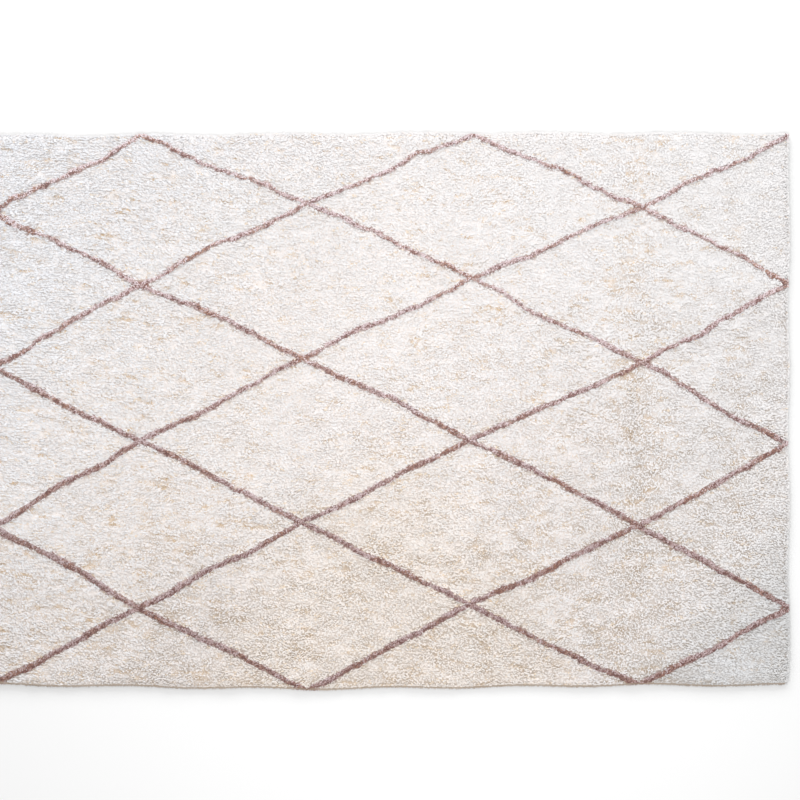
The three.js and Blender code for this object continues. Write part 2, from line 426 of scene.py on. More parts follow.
def new_finish(name, roughness, sheen):
    """A material with an empty shader, and a Shade to start its expressions from."""
    material = bpy.data.materials.new(name)
    material.use_nodes = True
    tree = material.node_tree
    shader = tree.nodes["Principled BSDF"]
    shader.inputs["Roughness"].default_value = roughness
    shader.inputs["Sheen Weight"].default_value = sheen
    shader.inputs["Specular IOR Level"].default_value = 0.2
    return material, shader, Shade(tree)


def object_place(start, scale=(1, 1, 1)):
    """The place on the rug in metres, times a scale on each axis."""
    place = start.node("ShaderNodeTexCoord", output=3)
    return start.node("ShaderNodeMapping", {}, {"Vector": place, "Scale": scale})


def place_with_axes(start):
    """The place on the rug, then its x and its y on their own."""
    place = object_place(start)
    x = start.node("ShaderNodeSeparateXYZ", {}, {0: place})
    return place, x, Shade(x.tree, x.socket.node.outputs[1])


def noise(place, scale, detail=2.0):
    return place.node("ShaderNodeTexNoise", {}, {"Vector": place, "Scale": scale, "Detail": detail})


def tinted(start, amount, shade, tint):
    """A shade that is multiplied by a tint where amount is 1 and kept where it is 0."""
    return start.mix(amount, shade, start.mix(1.0, shade, tint, "MULTIPLY"))


# %% [markdown]
# ## The cotton's colours
# The pale yarn is undyed cotton: nearly white at the cut tips, with flecks and streaks where the
# fibre is less clean. Shade is painted ochre down between the tufts. A painted tint of the light
# makes the rug cooler at the left, far and right parts and warmer in the near middle, and painted
# shade greys the near right corner. The lattice yarn is a dusty mauve with stretches of rustier
# brown, painted darker as shade towards its roots. The tufts carry numbers on their points for
# this. Rise runs from a tuft's root to its tip and tone is a random number of its own, which on the
# lattice also holds a painted highlight on each line's far side. Opened and parted say how open the
# pile is where it stands and whether that is a gap, and foot says how much brown shade is painted
# at the near edge.

# %% The pale yarn's tips
TIP_LAVENDER = colour(0.93, 0.935, 0.965)
TIP_GREY = colour(0.90, 0.887, 0.895)
TIP_WARM = colour(0.928, 0.862, 0.834)
OWN_HUE = 0.6  # how far a tuft's warmth may be from its neighbours'


def tip_colour(start, tone, warmth, x):
    """Clean yarn in a painted tint of the light: lavender at the left, grey at the right, creamy where
    warm.
    """
    cool = start.mix((x * -1).step(0.0, 0.95), TIP_GREY, TIP_LAVENDER)
    # The digits further down a tuft's tone serve as a second random number
    own_hue = start.maths("FRACT", tone * 13.7) * (2 * OWN_HUE) - OWN_HUE
    return start.mix((warmth + own_hue).step(0.0, 1.0), cool, TIP_WARM)


# %% The painted shade at the pale yarn's roots
PALE_ROOT_SHADE = colour(0.64, 0.54, 0.46)
OCHRE_ROOT_SHADE = colour(0.63, 0.435, 0.25)
OPEN_ROOT_SHADE = colour(0.44, 0.38, 0.33)


def root_shade_colour(start, patch, parted, opened, warmth):
    """Shade painted between the tufts: ochre at ecru patches and gaps, deeper where the pile is open."""
    root = start.mix(patch * 0.6 + parted * 0.4 + warmth * 0.3, PALE_ROOT_SHADE, OCHRE_ROOT_SHADE)
    return start.mix(opened * 0.6, root, OPEN_ROOT_SHADE)


# %% Painted tints of the light over the rug
FAR_LEFT_PAINTED_COOL = colour(1.0, 1.015, 1.035)
NEAR_MIDDLE_PAINTED_WARM = colour(1.01, 0.99, 0.955)
CORNER_PAINTED_SHADE = colour(0.84, 0.86, 0.87)


def painted_light_tinted(start, shade, x, y, corner):
    """A colour with light painted in: cooler far left, warmer near middle, darker and greyer near corner.
    """
    near_middle = (y * -1 - x * x * 2.5).step(-0.05, 0.4)
    shade = tinted(start, (y - x).step(0.3, 1.5), shade, FAR_LEFT_PAINTED_COOL)
    shade = tinted(start, near_middle, shade, NEAR_MIDDLE_PAINTED_WARM)
    return tinted(start, corner, shade, CORNER_PAINTED_SHADE)


# %% The pale pile
ECRU = colour(0.84, 0.66, 0.46)
DULL = colour(0.70, 0.66, 0.63)
DIM_TUFT = colour(0.66, 0.60, 0.54)


def pale_colour(start, rise, tone, opened, parted):
    """The undyed cotton's colour, for a height up the tuft, a tuft's own tone and where it stands."""
    place, x, y = place_with_axes(start)
    corner = (x - y).step(1.15, 1.55)
    # A painted tint of the light makes the rug warmest in the near middle and coolest in the near
    # corner's painted shade, with slow drifts of the yarn's own
    warmth = 0.52 - y * 0.45 - x * 0.22 - x * x * 0.50 + noise(place, 3.0) * 0.5 - 0.25 - corner * 0.6
    tip = tip_colour(start, tone, warmth, x)
    # Ecru tufts gather in patches that are stretched along the rows
    patch = noise(object_place(start, (0.4, 1, 1)), 60.0, 3.0).step(0.48, 0.63)
    ecru_tuft = (tone + patch * 0.2 + warmth * 0.14 - 0.18).step(0.84, 0.96)
    yarn = start.mix(ecru_tuft * 0.8, tip, ECRU)
    # Fine flecks break up each tuft, and long faint streaks follow the rows
    fleck = noise(place, 330.0, 1.0).step(0.36, 0.64)
    streak = noise(object_place(start, (0.22, 1, 1)), 110.0).step(0.36, 0.64)
    streaks = streak * (0.18 + (x * -1).step(-0.2, 0.8) * 0.08 + corner * 0.28)
    yarn = start.mix(fleck * 0.14 + streaks, yarn, DULL)
    # Some tufts are dimmer than others, and more of them where the pile is open and at the left
    dimmed = opened * 0.28 + (x * -1).step(-0.3, 0.6) * 0.16 + 0.05
    yarn = start.mix(start.maths("FRACT", tone * 7.3) * dimmed, yarn, DIM_TUFT)
    # The painted shade of the roots reaches higher up the tufts in the gaps between locks
    hidden = parted * (warmth.step(-0.6, 0.3) * 0.17 + 0.23 - opened * 0.15)
    depth = 1 - (rise - hidden - patch * 0.08 - opened * 0.04).step(0.14, 0.60)
    shade = start.mix(depth, yarn, root_shade_colour(start, patch, parted, opened, warmth))
    return painted_light_tinted(start, shade, x, y, corner)


# %% The pale pile's material
# The lattice yarn's colour painted dark as shade towards its roots
MAUVE_ROOT_SHADE = colour(0.26, 0.135, 0.115)
# Brown shade painted at the near edge, which faces away from the light
FOOT_SHADE_BROWN = colour(0.40, 0.31, 0.235)


def point_value(start, name):
    return start.node("ShaderNodeAttribute", {"attribute_name": name}, output=2)


def pale_pile():
    material, shader, start = new_finish("natural_pile", 0.95, 0.5)
    grown = [point_value(start, name) for name in ("rise", "tone", "opened", "parted")]
    under_line, foot = point_value(start, "under_line"), point_value(start, "foot")
    # Under the lines the bed is the mauve yarn, in its painted root shade
    shade = start.mix(under_line, pale_colour(start, *grown), MAUVE_ROOT_SHADE)
    # The foot of the near edge is painted brown as shade
    shade = start.mix(foot, shade, FOOT_SHADE_BROWN)
    start.tree.links.new(shade.socket, shader.inputs["Base Color"])
    return material


# %% The mauve pile
MAUVE_DARK = colour(0.31, 0.175, 0.16)
MAUVE_TIP = colour(0.72, 0.56, 0.565)
MAUVE_LIGHT = colour(0.88, 0.76, 0.79)
RUST_TIP = colour(0.53, 0.31, 0.23)
NEAR_DIM = colour(0.71, 0.66, 0.645)


def mauve_pile():
    """The lattice's finish. At the far left it changes most, from pale lavender to brown knots."""
    material, shader, start = new_finish("mauve_pile", 0.95, 0.25)
    rise, tone = point_value(start, "rise"), point_value(start, "tone")
    place, x, y = place_with_axes(start)
    far_left = (y - x).step(0.9, 1.5)
    tip = start.mix(noise(place, 9.0).step(0.40, 0.66) + far_left * 0.5, MAUVE_TIP, RUST_TIP)
    # A line's far side is painted lighter as highlight and its near side darker as shade, mixed with the
    # yarn's own random tone and noise
    light = tone * 1.2 + noise(place, 60.0) * 1.5 - 0.9 + y.step(0.0, 0.6) * 0.12
    light = light + (noise(place, 28.0) - 0.5) * far_left * 2.4
    tip = start.mix(light.step(0.45, 0.85), tip, MAUVE_LIGHT)
    tip = start.mix(1 - (light - far_left * 0.1).step(0.05, 0.45), tip, MAUVE_DARK)
    tip = tinted(start, (y * -1).step(-0.5, 0.6), tip, NEAR_DIM)
    # Shade painted down each tuft towards its root
    shade = start.mix(1 - rise.step(0.15, 0.66), tip, MAUVE_ROOT_SHADE)
    start.tree.links.new(shade.socket, shader.inputs["Base Color"])
    return material


# %% [markdown]
# ## The ground cloth's weave
# The ground cloth is a plain weave of ecru cotton. It shows only at the rim and from below. Two sets
# of waves, one along each axis, take turns to be on top, and they drive the colour and the bump. The
# lower threads are painted darker as shade, mixed with slubs of the yarn's own.

# %% The ground cloth
THREAD = 2.6 * MM
CLOTH_LIGHT = colour(0.74, 0.66, 0.54)
CLOTH_HOLLOW_SHADE = colour(0.52, 0.44, 0.34)


def ground_cloth_finish():
    material, shader, start = new_finish("ground_cloth", 0.9, 0.1)
    place, x, y = place_with_axes(start)
    turn = np.pi / THREAD
    over = start.maths("SINE", x * turn) * start.maths("SINE", y * turn)
    warp = start.maths("ABSOLUTE", start.maths("SINE", x * turn))
    weft = start.maths("ABSOLUTE", start.maths("SINE", y * turn))
    is_warp = over.step(-0.15, 0.15)
    height = warp * is_warp + weft * (1 - is_warp)
    slub = noise(place, 90.0, 3.0)
    # The low threads are painted darker as shade
    shade = start.mix((height + slub * 0.6 - 0.3).step(0.1, 1.0), CLOTH_HOLLOW_SHADE, CLOTH_LIGHT)
    bump = start.node("ShaderNodeBump", {}, {"Height": height, "Strength": 0.6, "Distance": 0.6 * MM})
    start.tree.links.new(shade.socket, shader.inputs["Base Color"])
    start.tree.links.new(bump.socket, shader.inputs["Normal"])
    return material


PALE, MAUVE, CLOTH = pale_pile(), mauve_pile(), ground_cloth_finish()
print("finishes:", [material.name for material in (PALE, MAUVE, CLOTH)])

# %% [markdown]
# ## The ground cloth and the bed of the pile
# Both start as an even grid that is drawn onto the rug's outline. A raised copy of the ground cloth's
# grid makes it a thin closed sheet with rounded edges. The bed is the lower part of the pile: it
# closes the gaps between the tufts, so that the floor never shows through.

# %% Grids on the rug's outline
def rug_grid(name, cells_across, cells_down, edge_inset):
    """A flat grid over the rug's outline, drawn in from its edges, as a bmesh."""
    sheet = bmesh.new()
    bmesh.ops.create_grid(sheet, x_segments=cells_across, y_segments=cells_down, size=1.0)
    flat = np.array([vertex.co for vertex in sheet.verts])
    x = flat[:, 0] * (HALF_LENGTH - edge_inset)
    far, near = long_edge(x, 0) - edge_inset, long_edge(x, LAST_ROW) + edge_inset
    y = near + (far - near) * (flat[:, 1] + 1) / 2
    x = x + wander(x, y)[0]
    for vertex, place_x, place_y in zip(sheet.verts, x, y):
        vertex.co = (place_x, place_y, 0)
    print(name, "grid has", len(sheet.faces), "faces")
    return sheet


def finished_piece(name, shape, material):
    """A bmesh as an object at the origin, with its faces out and its finish on."""
    bmesh.ops.recalc_face_normals(shape, faces=shape.faces)
    mesh = bpy.data.meshes.new(name)
    shape.to_mesh(mesh)
    shape.free()
    mesh.materials.append(material)
    piece = bpy.data.objects.new(name, mesh)
    bpy.context.scene.collection.objects.link(piece)
    return piece


CLOTH_INSET = 11 * MM
CLOTH_EDGE_ROUND = 0.8 * MM
SHARP_ANGLE = 1.0  # in radians


def make_ground_cloth():
    cloth = rug_grid("ground cloth", cells_across=60, cells_down=42, edge_inset=CLOTH_INSET)
    upper = bmesh.ops.extrude_face_region(cloth, geom=list(cloth.faces))["geom"]
    raised = [item for item in upper if isinstance(item, bmesh.types.BMVert)]
    bmesh.ops.translate(cloth, vec=(0, 0, CLOTH_THICKNESS), verts=raised)
    sharp = [edge for edge in cloth.edges if edge.calc_face_angle(0) > SHARP_ANGLE]
    bmesh.ops.bevel(
        cloth, geom=sharp, offset=CLOTH_EDGE_ROUND, segments=2, profile=0.5, affect="EDGES", material=-1
    )
    return finished_piece("ground_cloth", cloth, CLOTH)


ground_cloth = make_ground_cloth()

# %% The bed
BED_INSET = 3 * MM
BED_SHARE = {"dense": 0.83, "open": 0.68}  # of the pile's height
# The bed takes a tuft's colour at this rise, its painted shade included
BED_RISE = {"dense": 0.60, "open": 0.46}  # the part of a tuft whose colour the bed takes
BED_RIM_SHARE = 0.9  # how high the bed is at the rim, as a share of its height inside
BED_LUMP = 1.2 * MM
# The bed's foot on the near side is painted brown as shade
BED_FOOT_SHADE = 0.9  # how brown the bed is at the foot of the near side


def set_point_values(mesh, **values):
    for name, numbers in values.items():
        attribute = mesh.attributes.new(name, "FLOAT", "POINT")
        attribute.data.foreach_set("value", np.asarray(numbers, np.float32))


def bed_height(x, y):
    edge, _ = inset(x, y)
    lumps = BED_LUMP * drift(x, y, 12 * MM, 51)
    off_line, _, _ = from_lattice(x, y)
    low_at_rim = BED_RIM_SHARE + (1 - BED_RIM_SHARE) * smooth_step(edge, BED_INSET, 20 * MM)
    share = BED_SHARE["dense"] + (BED_SHARE["open"] - BED_SHARE["dense"]) * openness(x, y)
    return share * low_at_rim * (pile_height(x, y, off_line, edge) + lumps)


def bed_numbers(x, y):
    """What the finish reads at points of the bed, by name."""
    off_line, _, _ = from_lattice(x, y)
    edge, out = inset(x, y)
    opened = openness(x, y)
    return {
        "rise": BED_RISE["dense"] + (BED_RISE["open"] - BED_RISE["dense"]) * opened,
        "tone": np.full(x.size, 0.5),
        "opened": opened,
        "parted": np.clip(crowding(x, y), 0, 1),
        "under_line": 1 - smooth_step(off_line, -2 * MM, 3 * MM),
        "foot": BED_FOOT_SHADE * ((edge < 5 * MM) & near_side(out)),
    }


def make_bed():
    bed = rug_grid("bed", cells_across=160, cells_down=112, edge_inset=BED_INSET)
    flat = np.array([vertex.co for vertex in bed.verts])
    for vertex, z in zip(bed.verts, bed_height(flat[:, 0], flat[:, 1])):
        vertex.co.z = z
    border = [edge for edge in bed.edges if edge.is_boundary]
    skirt = bmesh.ops.extrude_edge_only(bed, edges=border)["geom"]
    for item in skirt:
        if isinstance(item, bmesh.types.BMVert):
            item.co.z = CLOTH_THICKNESS / 2
    hem = [item for item in skirt if isinstance(item, bmesh.types.BMEdge) and item.is_boundary]
    bmesh.ops.holes_fill(bed, edges=hem)
    piece = finished_piece("pile_bed", bed, PALE)
    spots = np.array([vertex.co for vertex in piece.data.vertices])
    set_point_values(piece.data, **bed_numbers(spots[:, 0], spots[:, 1]))
    print("the bed is up to", round(spots[:, 2].max() / MM, 1), "mm high")
    return piece


pile_bed = make_bed()

# %% [markdown]
# ## One tuft
# A cut tuft is a bundle of fibres that rises steeply from its root, bends over a full shoulder and
# ends in a soft tip. Seen from across the room it is only two pixels wide, so it is modelled as the
# smallest closed solid: a cone with three sides, whose four points become the root, the two sides of
# the shoulder and the tip. That leaves room for more than two hundred thousand of them.

# %% The tuft's shape
ROOT, LEFT, RIGHT, TIP = 0, 1, 2, 3
SHOULDER_AHEAD = 0.26  # how far ahead of the root the shoulder is, as a share of the lean
SHOULDER_UP = 0.84  # and how high, as a share of the tuft's height
SHOULDER_LIFT = 0.35  # and the extra lift that keeps a flat tuft full, in radii
TUFT_RISE = np.array([0.0, 0.62, 0.62, 1.0])


def tuft_faces():
    """The faces of a tuft as the numbers of their points, turned outwards."""
    tuft = bmesh.new()
    bmesh.ops.create_cone(tuft, cap_ends=True, segments=3, radius1=1.0, radius2=0.0, depth=1.0)
    bmesh.ops.remove_doubles(tuft, verts=tuft.verts, dist=0.001)
    shape = [(0, 0, 0), (SHOULDER_AHEAD, 1, SHOULDER_UP), (SHOULDER_AHEAD, -1, SHOULDER_UP), (1, 0, 1)]
    for vertex, place in zip(tuft.verts, shape):
        vertex.co = place
    tuft.normal_update()
    if tuft.calc_volume(signed=True) < 0:
        bmesh.ops.reverse_faces(tuft, faces=tuft.faces)
    tuft.verts.index_update()
    faces = [[vertex.index for vertex in face.verts] for face in tuft.faces]
    tuft.free()
    return faces


TUFT_FACES = tuft_faces()
print("a tuft has", len(TUFT_RISE), "points and", len(TUFT_FACES), "triangles:", TUFT_FACES)

# %% [markdown]
# ## Planting and growing the tufts
# Tufts are planted in rows along the rug, as the maker's tool punches them, and the rows waver. Each
# tuft then bends over: its root stands in the ground cloth and its tip is carried aside by its lean.
# Neighbours lean almost alike, which makes locks with gaps between them.

# %% Growing tufts from their roots
ROLL = 0.5  # how far a shoulder may tilt, in radii


def grow(root, tip, radius, roll):
    """The points of bent tufts, for arrays of their roots, tips, radii and tilts."""
    way = tip - root
    level = np.linalg.norm(way[:, :2], axis=1, keepdims=True) + 1e-9
    side = np.stack([-way[:, 1], way[:, 0]], 1) / level
    shoulder = root + way * (SHOULDER_AHEAD, SHOULDER_AHEAD, SHOULDER_UP)
    shoulder[:, 2] += SHOULDER_LIFT * radius
    half = np.concatenate([side, roll[:, None]], 1) * radius[:, None]
    return np.stack([root, shoulder + half, shoulder - half, tip], 1)


def bake_cells(count):
    """A place on the bake's own UV map for each corner of each tuft, in a cell for each tuft."""
    # The two faces that hold both shoulders share one half of a cell, and the other two the other
    corner_uv = []
    for face in TUFT_FACES:
        middle = 0.26 if {LEFT, RIGHT} <= set(face) else 0.74
        aside = {ROOT: 0.0, LEFT: -0.21, RIGHT: 0.21, TIP: 0.0}
        corner_uv += [(middle + aside[n], 0.05 + 0.9 * TUFT_RISE[n]) for n in face]
    index = np.arange(count)
    cells = int(np.ceil(np.sqrt(count)))
    cell = np.stack([index % cells, index // cells], -1)
    return ((cell[:, None] + np.array(corner_uv)[None]) / cells).reshape(-1, 2)


UPRIGHT_SHARE = 0.90  # how far the shading normals are turned upright


def soften_shading(mesh):
    """Turns the shading normals part of the way up, because light passes through cotton fibres."""
    normals = np.empty(len(mesh.vertices) * 3, np.float32)
    mesh.vertex_normals.foreach_get("vector", normals)
    normals = normals.reshape(-1, 3) * (1 - UPRIGHT_SHARE) + (0, 0, UPRIGHT_SHARE)
    normals /= np.linalg.norm(normals, axis=1, keepdims=True)
    mesh.normals_split_custom_set_from_vertices(normals)


def joined(*batches):
    """Batches of tufts as one. A batch holds arrays of equal length, by name."""
    return {name: np.concatenate([batch[name] for batch in batches]) for name in batches[0]}


def picked(batch, keep):
    return {name: values[keep] for name, values in batch.items()}


def tufts_piece(name, batch, material):
    """A batch of tufts as one mesh, with the numbers for its finish and a map for the bake."""
    points = batch["points"]
    count, corners = len(points), [n for face in TUFT_FACES for n in face]
    per_tuft = len(TUFT_RISE)
    shift = (np.arange(count) * per_tuft)[:, None]
    starts = np.cumsum([0] + [len(face) for face in TUFT_FACES[:-1]])
    mesh = bpy.data.meshes.new(name)
    mesh.vertices.add(count * per_tuft)
    mesh.vertices.foreach_set("co", points.astype(np.float32).ravel())
    mesh.loops.add(count * len(corners))
    mesh.loops.foreach_set("vertex_index", (shift + corners).astype(np.int32).ravel())
    mesh.polygons.add(count * len(TUFT_FACES))
    face_starts = (np.arange(count) * len(corners))[:, None] + starts
    mesh.polygons.foreach_set("loop_start", face_starts.astype(np.int32).ravel())
    mesh.update(calc_edges=True)
    mesh.shade_smooth()
    soften_shading(mesh)
    numbers = {key: np.repeat(values, per_tuft) for key, values in batch.items() if key != "points"}
    set_point_values(mesh, rise=np.tile(TUFT_RISE, count), **numbers)
    bake_map = mesh.uv_layers.new(name="OFBake")
    bake_map.data.foreach_set("uv", bake_cells(count).astype(np.float32).ravel())
    mesh.materials.append(material)
    piece = bpy.data.objects.new(name, mesh)
    bpy.context.scene.collection.objects.link(piece)
    print(name, "has", count, "tufts and", len(mesh.polygons), "triangles")
    return piece


# %% Planting in rows
EDGE_MARGIN = 2.5 * MM
EDGE_REACH = 1.5 * MM  # how far the tips may pass the outline
EDGE_PULL = 6 * MM  # how far the outermost tufts lean outwards
NEAR_STEP = 7 * MM  # how far the pile stops short of the near side's brown foot


def plant(row_pitch, tuft_pitch, seed, waver, scatter):
    """Roots in wavering rows over the whole rug, as x and y. Where scatter gives 1, rows are lost."""
    chance = np.random.default_rng(seed)
    rows = np.arange(-HALF_WIDTH, HALF_WIDTH, row_pitch)
    along = np.arange(-HALF_LENGTH, HALF_LENGTH, tuft_pitch)
    x, y = (grid.ravel() for grid in np.meshgrid(along, rows))
    x = x + chance.uniform(-0.5, 0.5, x.size) * tuft_pitch
    y = y + waver * (drift(x, y, 42 * MM, seed + 1) + 0.5 * drift(x, y, 15 * MM, seed + 2))
    y = y + chance.uniform(-0.5, 0.5, x.size) * row_pitch * scatter(x, y)
    edge, out = inset(x, y)
    keep = edge > EDGE_MARGIN + NEAR_STEP * near_side(out)
    print("rows", round(row_pitch / MM, 1), "mm apart hold", keep.sum(), "roots")
    return x[keep], y[keep]


# %% [markdown]
# ## The pale pile
# The nap lies mostly along the rows and swirls, so that small locks meet and part. On the rough bands
# it lies every way. In the streaky parts the tufts are longer, thinner and straighter, and the rows
# still show.

# %% Leaning tufts
def lost_rows(x, y):
    """How far the tufts are scattered between the rows, from 0 to 1."""
    return 1 - 0.35 * streakiness(x, y)


def lay_of_pile(x, y, chance):
    """The way each tuft leans, as an angle: along the rows, with swirls and scatter."""
    rough, calm = roughness_of_band(x), 1 - 0.8 * streakiness(x, y)
    swirl = calm * (0.4 * drift(x, y, 230 * MM, 61) + 0.5 * drift(x, y, 75 * MM, 62))
    lock = (0.5 * calm + 0.5 * rough) * drift(x, y, 14 * MM, 63, 1.5)
    single = (0.05 + 0.34 * calm + 0.6 * rough) * chance.standard_normal(x.size)
    to_left = 0.5 + 0.4 * drift(x, y, 200 * MM, 64)
    side = np.where(chance.uniform(0, 1, x.size) < to_left, np.pi, 0.0)
    return side - NAP_SLOPE + swirl + lock + single


def held_back(aside, way, room):
    """A lean that is turned sideways where it would reach further than its room in one way."""
    reach = (aside * way).sum(-1, keepdims=True)
    allowed = np.minimum(reach, room[:, None])
    sideways = aside - way * reach
    sideways /= np.linalg.norm(sideways, axis=-1, keepdims=True) + 1e-9
    length = np.linalg.norm(aside, axis=-1, keepdims=True)
    turned = way * allowed + sideways * np.sqrt(np.maximum(length**2 - allowed**2, 0))
    return np.where(reach > room[:, None], turned, aside)


def grown_pile(x, y, lean, height, radius, angle, chance, edge, out, limits=()):
    """Bent tufts that lean outwards at the rim, with their tips held back in each limited way."""
    aside = np.stack([np.cos(angle), np.sin(angle)], -1) * lean[:, None]
    aside += out * (EDGE_PULL * (1 - smooth_step(edge, 0, 10 * MM)))[:, None]
    # Near the rim a tip may neither pass the outline by much nor turn far inwards and bare the edge
    inwards = (-out, edge + 1 * MM)
    outwards = (out, edge + EDGE_REACH - NEAR_STEP * near_side(out))
    for way, room in [*limits, inwards, outwards]:
        aside = held_back(aside, way, room)
    root = np.stack([x, y, np.full(x.size, CLOTH_THICKNESS - 1 * MM)], -1)
    tip = np.stack([x + aside[:, 0], y + aside[:, 1], height], -1)
    return grow(root, tip, radius, chance.uniform(-ROLL, ROLL, x.size))


# In millimetres, before locks and streaks change them
PALE_LEAN = 8.2
PALE_RADIUS = 2.5
GAP_DEPTH = 1.8 * MM  # how much lower the tufts in the gaps between locks are


def pale_tufts():
    x, y = plant(row_pitch=7.4 * MM, tuft_pitch=1.88 * MM, seed=71, waver=1.8 * MM, scatter=lost_rows)
    off_line = from_lattice(x, y)[0]
    x, y = x[off_line > 0], y[off_line > 0]
    off_line, _, away = from_lattice(x, y)
    chance = np.random.default_rng(72)
    edge, out = inset(x, y)
    opened, parted, streaky = openness(x, y), parting(x, y), streakiness(x, y)
    # Locks of neighbours are higher or lower together, and single tufts are ragged besides
    lock = drift(x, y, 10 * MM, 73, 2.0)
    height = pile_height(x, y, off_line, edge) + (0.3 + 1.2 * streaky) * MM * lock
    ragged = 0.2 + 0.5 * opened + 0.3 * smooth_step(-x, -0.3, 0.6)
    height = height + ragged * MM * chance.standard_normal(x.size)
    height = height - GAP_DEPTH * parted
    lean = (PALE_LEAN + 1.2 * lock + 3.5 * streaky - 1.2 * opened) * MM
    lean = lean * chance.uniform(0.7, 1.25, x.size)
    radius = (PALE_RADIUS - 0.5 * np.maximum(opened, streaky)) * MM
    radius = radius * chance.uniform(0.75, 1.25, x.size)
    to_line = -away / np.linalg.norm(away, axis=-1, keepdims=True)
    limits = [(to_line, off_line + (1.2 * chance.standard_normal(x.size) - 1) * MM)]
    angle = lay_of_pile(x, y, chance)
    points = grown_pile(x, y, lean, height, radius, angle, chance, edge, out, limits)
    tone = chance.uniform(0, 1, x.size)
    # A strip along the near edge is painted tan in places, as shade on the side away from the light
    tan_shade_strip = near_side(out) * (1 - smooth_step(edge, 8 * MM, 24 * MM))
    foot = tan_shade_strip * np.clip(0.28 + 0.5 * drift(x, y, 45 * MM, 94, 2.0), 0, 1) * tone
    return {"points": points, "tone": tone, "opened": opened, "parted": parted, "foot": foot}


# %% [markdown]
# ## The lattice's tufts
# The dark tufts are planted closer, stand proud and lie almost along their line, turned a little
# like the strands of a rope. Now and then they lie the other way, which makes the line clot. Those
# on the far side of a line are painted paler, a painted highlight where the light catches them.

# %% The lattice's tufts
MAUVE_LEAN = 7.0 * MM
MAUVE_RADIUS = 1.7 * MM
MAUVE_RAGGED = 1.1 * MM  # how much the tufts differ in height
ROPE_TURN = 0.6  # in radians


def mauve_tufts():
    x, y = plant(row_pitch=2.7 * MM, tuft_pitch=2.6 * MM, seed=81, waver=0.6 * MM, scatter=lambda x, y: 1)
    on_line = from_lattice(x, y)[0] <= 0
    x, y = x[on_line], y[on_line]
    off_line, line_angle, away = from_lattice(x, y)
    chance = np.random.default_rng(82)
    edge, out = inset(x, y)
    height = pile_height(x, y, off_line, edge) + MAUVE_RAGGED * chance.standard_normal(x.size)
    lean = MAUVE_LEAN * chance.uniform(0.6, 1.2, x.size)
    radius = MAUVE_RADIUS * chance.uniform(0.8, 1.25, x.size)
    side = np.where(drift(x, y, 38 * MM, 83) > 0, 0.0, np.pi)
    angle = line_angle + ROPE_TURN + side + 0.6 * chance.standard_normal(x.size)
    outward = away / (np.linalg.norm(away, axis=-1, keepdims=True) + 1e-9)
    limits = [(outward, -off_line + (1 + 1.2 * chance.standard_normal(x.size)) * MM)]
    points = grown_pile(x, y, lean, height, radius, angle, chance, edge, out, limits)
    # The far side of each line gets a higher tone, a painted highlight
    far_side_highlight = smooth_step(away[:, 1], -4 * MM, 6 * MM)
    tone = 0.3 * far_side_highlight + 0.7 * chance.uniform(0, 1, x.size)
    none = np.zeros(x.size)
    return {"points": points, "tone": tone, "opened": openness(x, y), "parted": none, "foot": none}


# %% [markdown]
# ## The rim
# The pile runs right to the edge of the rug and stops there. Seen from the side its flank would show
# the bed and the cloth, so extra tufts are planted in layers up the flank. The upper layers lie along
# the edge, as the last row does. On the near side the lowest layers reach out furthest and are painted
# brown as shade, for that side faces away from the light, which gives that edge its thin dark line.

# %% Walking round the rim
RIM_TUFT_PITCH = 2.6 * MM


def rim_walk(edge_inset, near_inset):
    """Points round the rug at a distance inside its outline, with the way out at each."""
    along_x = np.arange(-HALF_LENGTH + edge_inset, HALF_LENGTH - edge_inset, RIM_TUFT_PITCH)
    along_y = np.arange(-HALF_WIDTH + near_inset, HALF_WIDTH - edge_inset, RIM_TUFT_PITCH)
    sides = []
    for row, way, own_inset in ((0, 1, edge_inset), (LAST_ROW, -1, near_inset)):
        y = long_edge(along_x, row) - way * own_inset
        sides.append((along_x, y, np.tile((0.0, way), (along_x.size, 1))))
    for way in (1, -1):
        edge_x = np.full(along_y.size, way * HALF_LENGTH)
        x = edge_x + wander(edge_x, along_y)[0] - way * edge_inset
        sides.append((x, along_y, np.tile((float(way), 0.0), (along_y.size, 1))))
    x, y, out = (np.concatenate(part) for part in zip(*sides))
    keep = inset(x, y)[0] > edge_inset - 1 * MM
    return x[keep], y[keep], out[keep]


# %% Rim tufts
# All in millimetres: how high roots and tips are, how far inside the outline the roots stand, how far
# out the tips reach, both of these again for the near side, and how far a tip may lie along the edge
RIM_LAYERS = [
    {"root": 2.4, "tip": 3.0, "inset": 8.0, "reach": 6.0, "near": (8.0, 8.8), "along": 3.0},
    {"root": 3.0, "tip": 6.0, "inset": 8.0, "reach": 6.5, "near": (8.0, 8.2), "along": 3.0},
    {"root": 3.0, "tip": 9.0, "inset": 7.0, "reach": 6.5, "near": (11.0, 4.5), "along": 5.0},
    {"root": 2.4, "tip": 11.0, "inset": 4.0, "reach": 3.5, "near": (10.0, 3.0), "along": 9.0},
]
BROWN_LAYERS = 2
RIM_RADIUS = 2.2 * MM
RIM_RAGGED = 0.9 * MM
LOWEST_TIP = 2.4 * MM


